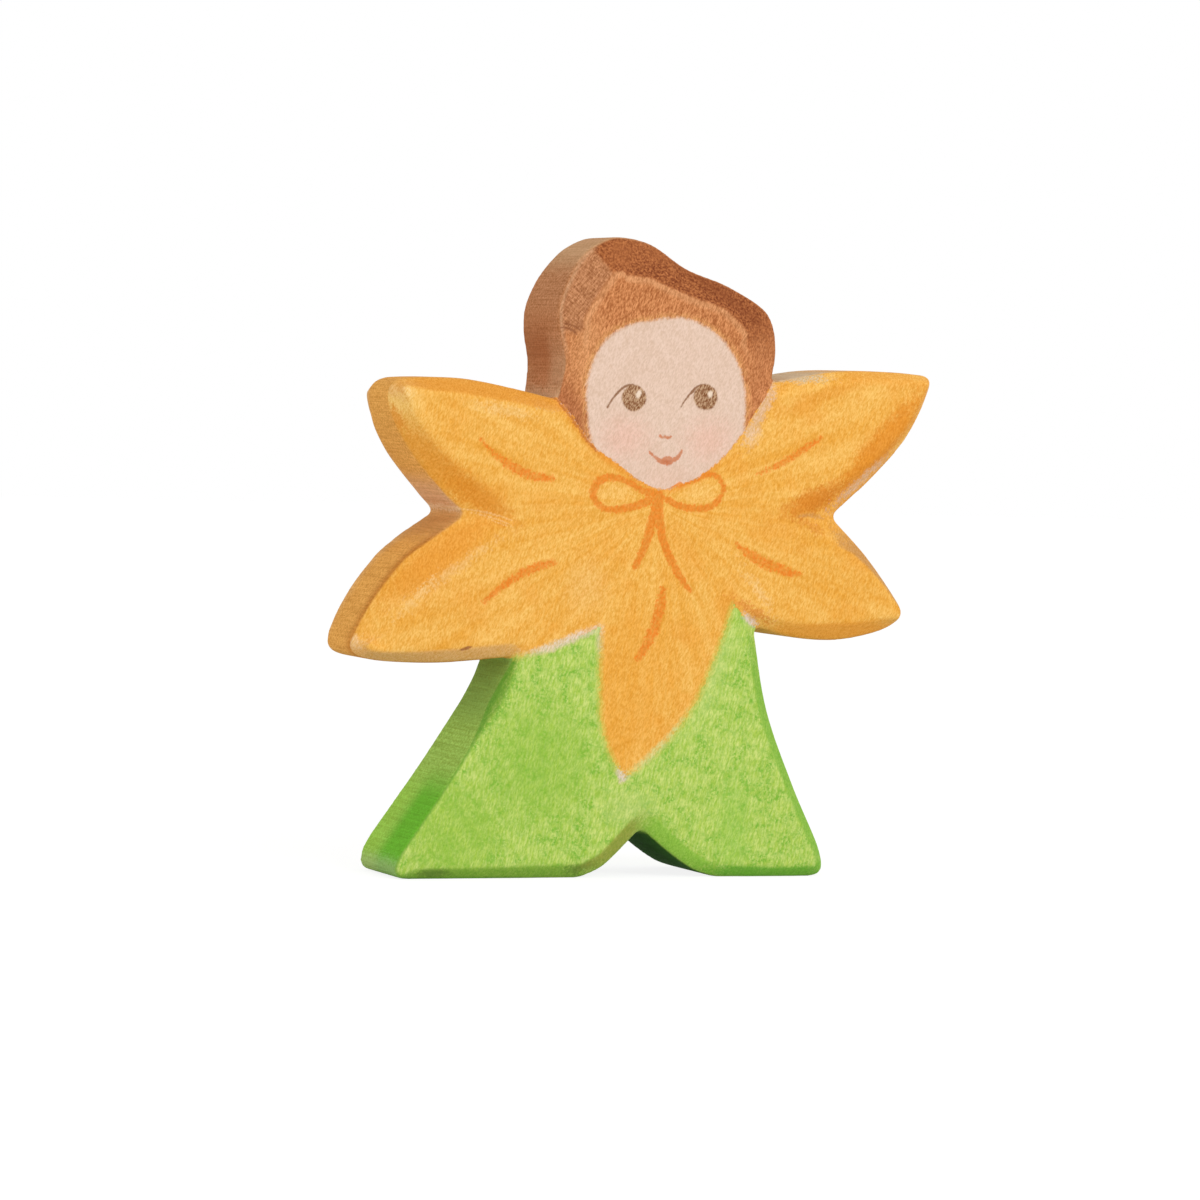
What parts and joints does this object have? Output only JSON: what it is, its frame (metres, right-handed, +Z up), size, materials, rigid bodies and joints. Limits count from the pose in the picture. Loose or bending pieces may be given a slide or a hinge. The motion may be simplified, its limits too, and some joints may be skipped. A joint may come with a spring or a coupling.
{
  "type": "wooden figure",
  "caption": "Flat standing wooden child figure sawn from a board: wavy hair, round face, cape of pointed petals and a flared dress with an arched hem.",
  "frame": {"origin": "under the middle of the outline, on the surface that the feet stand on, halfway through the board", "axes": "+Z up, from the feet to the crown; the face looks towards -Y; +X to the right of someone who looks at the face"},
  "size_m": [0.086, 0.017, 0.0892],
  "materials": {
    "hair": "thin brown glaze on bare wood, matt",
    "face": "thin skin-coloured glaze on bare wood, matt",
    "petal_cape": "thin golden orange glaze on bare wood, matt",
    "dress": "thin spring green glaze on bare wood, matt"
  },
  "bodies": {
    "root": {"hair": "hair", "face": "face", "petal_cape": "petal_cape", "dress": "dress"}
  },
  "joints": []
}
